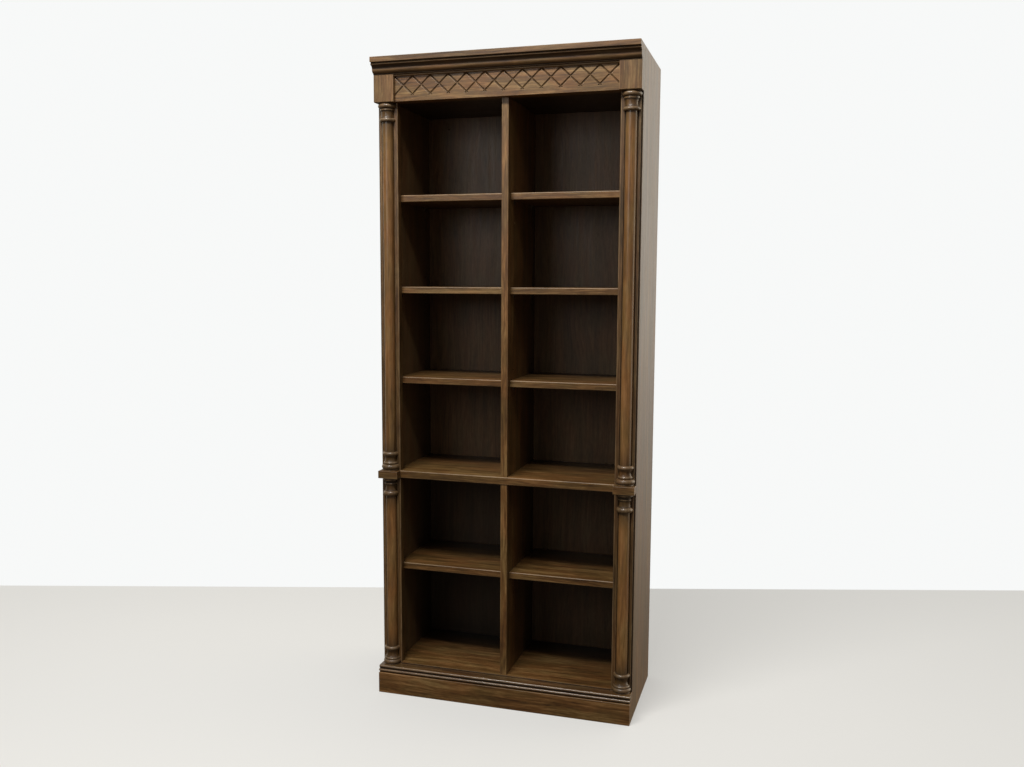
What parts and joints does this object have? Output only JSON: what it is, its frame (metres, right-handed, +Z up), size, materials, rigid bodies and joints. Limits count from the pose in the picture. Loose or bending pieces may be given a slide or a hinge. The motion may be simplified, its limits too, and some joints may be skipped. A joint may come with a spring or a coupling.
{
  "type": "bookcase with adjustable shelves",
  "caption": "Tall two-bay walnut bookcase with turned half columns, a carved lattice frieze, a stepped cornice, a plinth and adjustable shelves on pins.",
  "frame": {"origin": "on the floor under the middle of the bookcase's bounding box", "axes": "+Z up, +X towards the right-hand side seen from the front, -Y out of the front"},
  "size_m": [0.9, 0.44, 2.194],
  "materials": {
    "walnut": "satin lacquer",
    "inner_walnut": "satin lacquer",
    "turned_walnut": "gloss lacquer",
    "beech": "planed, unfinished",
    "steel": "zinc plated"
  },
  "bodies": {
    "carcass": {"side_panel_left": "walnut", "side_panel_right": "walnut", "lining_left": "inner_walnut", "lining_right": "inner_walnut", "side_battens_left": "beech", "side_battens_right": "beech", "stile_left": "walnut", "stile_right": "walnut", "header_rail": "walnut", "ceiling_panel": "inner_walnut", "roof_panel": "inner_walnut", "waist_shelf": "walnut", "bottom_board": "walnut", "divider_upper": "walnut", "divider_lower": "walnut", "back_panel_upper": "inner_walnut", "back_panel_lower": "inner_walnut", "top_back_rail": "beech", "waist_back_rail": "beech", "plinth_board": "walnut", "plinth_moulding": "walnut", "plinth_return_left": "walnut", "plinth_return_right": "walnut", "plinth_rear_rail": "beech", "plinth_bearer": "beech", "plinth_glue_blocks": "beech", "corner_block_left": "walnut", "corner_block_right": "walnut", "frieze": "walnut", "frieze_bead": "walnut", "cornice_cap": "walnut", "cornice_moulding": "walnut", "waist_block_left": "walnut", "waist_block_right": "walnut", "column_upper_left": "turned_walnut", "column_upper_right": "turned_walnut", "column_lower_left": "turned_walnut", "column_lower_right": "turned_walnut", "pins_upper_left": "steel", "pins_upper_right": "steel", "pins_lower_left": "steel", "pins_lower_right": "steel", "dowels": "beech", "back_screws": "steel"},
    "shelf_1_left": {"shelf_1_left": "walnut"},
    "shelf_1_right": {"shelf_1_right": "walnut"},
    "shelf_2_left": {"shelf_2_left": "walnut"},
    "shelf_2_right": {"shelf_2_right": "walnut"},
    "shelf_3_left": {"shelf_3_left": "walnut"},
    "shelf_3_right": {"shelf_3_right": "walnut"},
    "shelf_4_left": {"shelf_4_left": "walnut"},
    "shelf_4_right": {"shelf_4_right": "walnut"}
  },
  "joints": [
    {"name": "shelf_1_left_lift", "type": "slide", "parent": "carcass", "child": "shelf_1_left", "axis": [0, 0, 1], "range_m": [0, 0.29]},
    {"name": "shelf_1_right_lift", "type": "slide", "parent": "carcass", "child": "shelf_1_right", "axis": [0, 0, 1], "range_m": [0, 0.29]},
    {"name": "shelf_2_left_lift", "type": "slide", "parent": "carcass", "child": "shelf_2_left", "axis": [0, 0, 1], "range_m": [0, 0.26]},
    {"name": "shelf_2_right_lift", "type": "slide", "parent": "carcass", "child": "shelf_2_right", "axis": [0, 0, 1], "range_m": [0, 0.26]},
    {"name": "shelf_3_left_lift", "type": "slide", "parent": "carcass", "child": "shelf_3_left", "axis": [0, 0, 1], "range_m": [0, 0.26]},
    {"name": "shelf_3_right_lift", "type": "slide", "parent": "carcass", "child": "shelf_3_right", "axis": [0, 0, 1], "range_m": [0, 0.26]},
    {"name": "shelf_4_left_lift", "type": "slide", "parent": "carcass", "child": "shelf_4_left", "axis": [0, 0, 1], "range_m": [0, 0.297]},
    {"name": "shelf_4_right_lift", "type": "slide", "parent": "carcass", "child": "shelf_4_right", "axis": [0, 0, 1], "range_m": [0, 0.297]}
  ]
}
